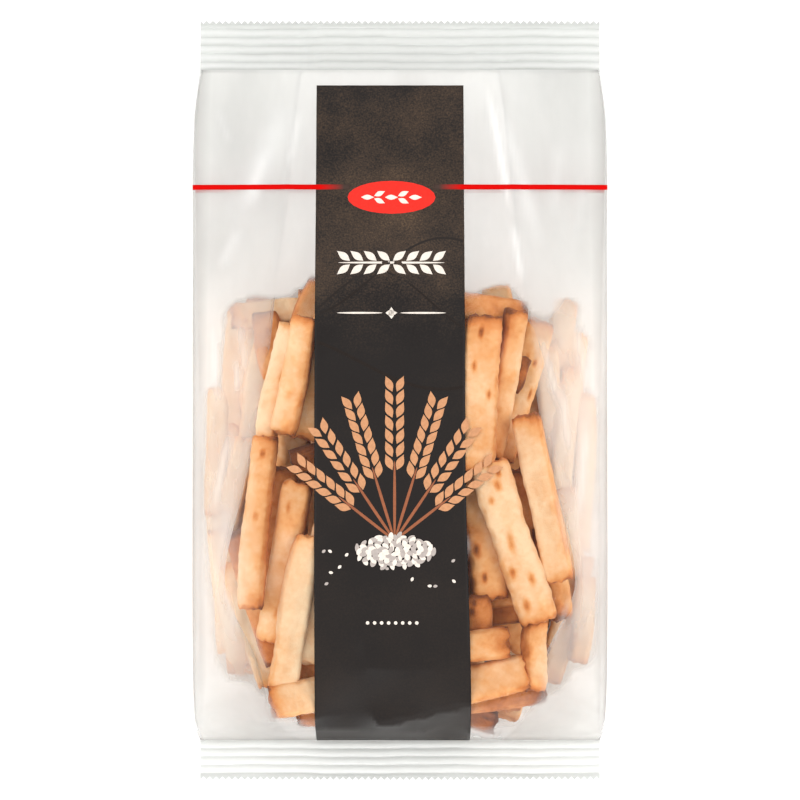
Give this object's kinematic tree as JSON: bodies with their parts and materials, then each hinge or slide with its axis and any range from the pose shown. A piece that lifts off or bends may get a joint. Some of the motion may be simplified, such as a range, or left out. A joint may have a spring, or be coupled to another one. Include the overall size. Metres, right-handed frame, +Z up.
{
  "type": "sealed clear bag of short grissini breadsticks",
  "caption": "Side-gusseted clear film bag with ribbed zig-zag end seals, filled with short baked breadsticks and lying on its back, printed front up.",
  "frame": {"origin": "on the surface the bag lies on, under the middle of its length and width", "axes": "+Y along the bag towards its top seal, +X across its width, +Z up out of the printed front"},
  "size_m": [0.1574, 0.29, 0.0639],
  "materials": {
    "filled_bag": "clear glossy film over pale golden breadsticks",
    "clear_film": "clear glossy packaging film, milky where it lies double",
    "dark_print": "dark slate-like print under the film's surface, satin",
    "red_print": "glossy red print",
    "light_print": "glossy cream and tan print",
    "breadstick": "dry baked crust, pale cream with golden edges and brown blisters"
  },
  "bodies": {
    "root": {"sealed_bag": "filled_bag"}
  },
  "joints": []
}
